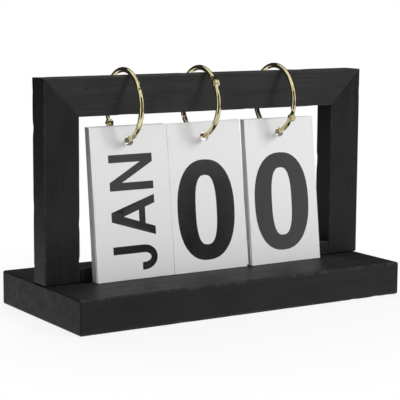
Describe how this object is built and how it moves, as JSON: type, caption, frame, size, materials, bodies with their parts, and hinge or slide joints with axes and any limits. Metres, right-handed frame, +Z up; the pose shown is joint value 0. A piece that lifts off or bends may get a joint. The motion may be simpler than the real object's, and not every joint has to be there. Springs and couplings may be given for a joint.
{
  "type": "wooden flip calendar",
  "caption": "Black wooden frame on a thick base board, with brass book rings over its top rail that carry packs of cards to flip for the month and the day.",
  "frame": {"origin": "on the table, under the middle of the base board", "axes": "+X to the right along the frame's width seen from the front, +Y to the back, +Z up"},
  "size_m": [0.22, 0.099, 0.1411],
  "materials": {
    "black_wood": "satin black stain",
    "brass": "polished",
    "steel": "zinc plated",
    "card": "satin coated white"
  },
  "bodies": {
    "stand": {"base_board": "black_wood", "frame_left_stile": "black_wood", "frame_right_stile": "black_wood", "frame_top_rail": "black_wood", "frame_bottom_rail": "black_wood", "stile_screw_left_outer": "steel", "stile_screw_left_inner": "steel", "stile_screw_right_inner": "steel", "stile_screw_right_outer": "steel", "rail_screw_left": "steel", "rail_screw_right": "steel", "mitre_nail_left": "steel", "mitre_nail_right": "steel"},
    "month_ring": {"month_ring_carrier": "brass", "month_ring_rivet": "brass"},
    "month_gate": {"month_ring_gate": "brass"},
    "month_card_12": {"month_card_12": "card"},
    "month_card_11": {"month_card_11": "card"},
    "month_card_10": {"month_card_10": "card"},
    "month_card_09": {"month_card_09": "card"},
    "month_card_08": {"month_card_08": "card"},
    "month_card_07": {"month_card_07": "card"},
    "month_card_06": {"month_card_06": "card"},
    "month_card_05": {"month_card_05": "card"},
    "month_card_04": {"month_card_04": "card"},
    "month_card_03": {"month_card_03": "card"},
    "month_card_02": {"month_card_02": "card"},
    "month_card_01": {"month_card_01": "card"},
    "tens_ring": {"tens_ring_carrier": "brass", "tens_ring_rivet": "brass"},
    "tens_gate": {"tens_ring_gate": "brass"},
    "tens_card_3": {"tens_card_3": "card"},
    "tens_card_2": {"tens_card_2": "card"},
    "tens_card_1": {"tens_card_1": "card"},
    "tens_card_0": {"tens_card_0": "card"},
    "units_ring": {"units_ring_carrier": "brass", "units_ring_rivet": "brass"},
    "units_gate": {"units_ring_gate": "brass"},
    "units_card_9": {"units_card_9": "card"},
    "units_card_8": {"units_card_8": "card"},
    "units_card_7": {"units_card_7": "card"},
    "units_card_6": {"units_card_6": "card"},
    "units_card_5": {"units_card_5": "card"},
    "units_card_4": {"units_card_4": "card"},
    "units_card_3": {"units_card_3": "card"},
    "units_card_2": {"units_card_2": "card"},
    "units_card_1": {"units_card_1": "card"},
    "units_card_0": {"units_card_0": "card"}
  },
  "joints": [
    {"name": "month_ring_turn", "type": "hinge", "parent": "stand", "child": "month_ring", "pos_m": [-0.0554, 0, 0.11928], "axis": [1, 0, 0], "continuous": true},
    {"name": "tens_ring_turn", "type": "hinge", "parent": "stand", "child": "tens_ring", "pos_m": [-0.0039, 0, 0.11928], "axis": [1, 0, 0], "continuous": true},
    {"name": "units_ring_turn", "type": "hinge", "parent": "stand", "child": "units_ring", "pos_m": [0.0499, 0, 0.11928], "axis": [-1, 0, 0], "continuous": true},
    {"name": "month_ring_open", "type": "hinge", "parent": "month_ring", "child": "month_gate", "pos_m": [-0.0554, 0.01736, 0.10757], "axis": [1, 0, 0], "range_deg": [-60, 0]},
    {"name": "tens_ring_open", "type": "hinge", "parent": "tens_ring", "child": "tens_gate", "pos_m": [-0.0039, -0.01715, 0.13129], "axis": [-1, 0, 0], "range_deg": [-60, 0]},
    {"name": "units_ring_open", "type": "hinge", "parent": "units_ring", "child": "units_gate", "pos_m": [0.0499, -0.01813, 0.10881], "axis": [-1, 0, 0], "range_deg": [-60, 0]},
    {"name": "month_card_12_flip", "type": "hinge", "parent": "stand", "child": "month_card_12", "pos_m": [-0.0554, 0, 0.11928], "axis": [-1, 0, 0], "range_deg": [0, 120]},
    {"name": "month_card_11_flip", "type": "hinge", "parent": "month_card_12", "child": "month_card_11", "pos_m": [-0.0554, 0, 0.11928], "axis": [-1, 0, 0], "range_deg": [0, 120]},
    {"name": "month_card_10_flip", "type": "hinge", "parent": "month_card_11", "child": "month_card_10", "pos_m": [-0.0554, 0, 0.11928], "axis": [-1, 0, 0], "range_deg": [0, 120]},
    {"name": "month_card_09_flip", "type": "hinge", "parent": "month_card_10", "child": "month_card_09", "pos_m": [-0.0554, 0, 0.11928], "axis": [-1, 0, 0], "range_deg": [0, 120]},
    {"name": "month_card_08_flip", "type": "hinge", "parent": "month_card_09", "child": "month_card_08", "pos_m": [-0.0554, 0, 0.11928], "axis": [-1, 0, 0], "range_deg": [0, 120]},
    {"name": "month_card_07_flip", "type": "hinge", "parent": "month_card_08", "child": "month_card_07", "pos_m": [-0.0554, 0, 0.11928], "axis": [-1, 0, 0], "range_deg": [0, 120]},
    {"name": "month_card_06_flip", "type": "hinge", "parent": "month_card_07", "child": "month_card_06", "pos_m": [-0.0554, 0, 0.11928], "axis": [-1, 0, 0], "range_deg": [0, 120]},
    {"name": "month_card_05_flip", "type": "hinge", "parent": "month_card_06", "child": "month_card_05", "pos_m": [-0.0554, 0, 0.11928], "axis": [-1, 0, 0], "range_deg": [0, 120]},
    {"name": "month_card_04_flip", "type": "hinge", "parent": "month_card_05", "child": "month_card_04", "pos_m": [-0.0554, 0, 0.11928], "axis": [-1, 0, 0], "range_deg": [0, 120]},
    {"name": "month_card_03_flip", "type": "hinge", "parent": "month_card_04", "child": "month_card_03", "pos_m": [-0.0554, 0, 0.11928], "axis": [-1, 0, 0], "range_deg": [0, 120]},
    {"name": "month_card_02_flip", "type": "hinge", "parent": "month_card_03", "child": "month_card_02", "pos_m": [-0.0554, 0, 0.11928], "axis": [-1, 0, 0], "range_deg": [0, 120]},
    {"name": "month_card_01_flip", "type": "hinge", "parent": "month_card_02", "child": "month_card_01", "pos_m": [-0.0554, 0, 0.11928], "axis": [-1, 0, 0], "range_deg": [0, 120]},
    {"name": "tens_card_3_flip", "type": "hinge", "parent": "stand", "child": "tens_card_3", "pos_m": [-0.0039, 0, 0.11928], "axis": [-1, 0, 0], "range_deg": [0, 120]},
    {"name": "tens_card_2_flip", "type": "hinge", "parent": "tens_card_3", "child": "tens_card_2", "pos_m": [-0.0039, 0, 0.11928], "axis": [-1, 0, 0], "range_deg": [0, 120]},
    {"name": "tens_card_1_flip", "type": "hinge", "parent": "tens_card_2", "child": "tens_card_1", "pos_m": [-0.0039, 0, 0.11928], "axis": [-1, 0, 0], "range_deg": [0, 120]},
    {"name": "tens_card_0_flip", "type": "hinge", "parent": "tens_card_1", "child": "tens_card_0", "pos_m": [-0.0039, 0, 0.11928], "axis": [-1, 0, 0], "range_deg": [0, 120]},
    {"name": "units_card_9_flip", "type": "hinge", "parent": "stand", "child": "units_card_9", "pos_m": [0.0499, 0, 0.11928], "axis": [-1, 0, 0], "range_deg": [0, 120]},
    {"name": "units_card_8_flip", "type": "hinge", "parent": "units_card_9", "child": "units_card_8", "pos_m": [0.0499, 0, 0.11928], "axis": [-1, 0, 0], "range_deg": [0, 120]},
    {"name": "units_card_7_flip", "type": "hinge", "parent": "units_card_8", "child": "units_card_7", "pos_m": [0.0499, 0, 0.11928], "axis": [-1, 0, 0], "range_deg": [0, 120]},
    {"name": "units_card_6_flip", "type": "hinge", "parent": "units_card_7", "child": "units_card_6", "pos_m": [0.0499, 0, 0.11928], "axis": [-1, 0, 0], "range_deg": [0, 120]},
    {"name": "units_card_5_flip", "type": "hinge", "parent": "units_card_6", "child": "units_card_5", "pos_m": [0.0499, 0, 0.11928], "axis": [-1, 0, 0], "range_deg": [0, 120]},
    {"name": "units_card_4_flip", "type": "hinge", "parent": "units_card_5", "child": "units_card_4", "pos_m": [0.0499, 0, 0.11928], "axis": [-1, 0, 0], "range_deg": [0, 120]},
    {"name": "units_card_3_flip", "type": "hinge", "parent": "units_card_4", "child": "units_card_3", "pos_m": [0.0499, 0, 0.11928], "axis": [-1, 0, 0], "range_deg": [0, 120]},
    {"name": "units_card_2_flip", "type": "hinge", "parent": "units_card_3", "child": "units_card_2", "pos_m": [0.0499, 0, 0.11928], "axis": [-1, 0, 0], "range_deg": [0, 120]},
    {"name": "units_card_1_flip", "type": "hinge", "parent": "units_card_2", "child": "units_card_1", "pos_m": [0.0499, 0, 0.11928], "axis": [-1, 0, 0], "range_deg": [0, 120]},
    {"name": "units_card_0_flip", "type": "hinge", "parent": "units_card_1", "child": "units_card_0", "pos_m": [0.0499, 0, 0.11928], "axis": [-1, 0, 0], "range_deg": [0, 120]}
  ]
}
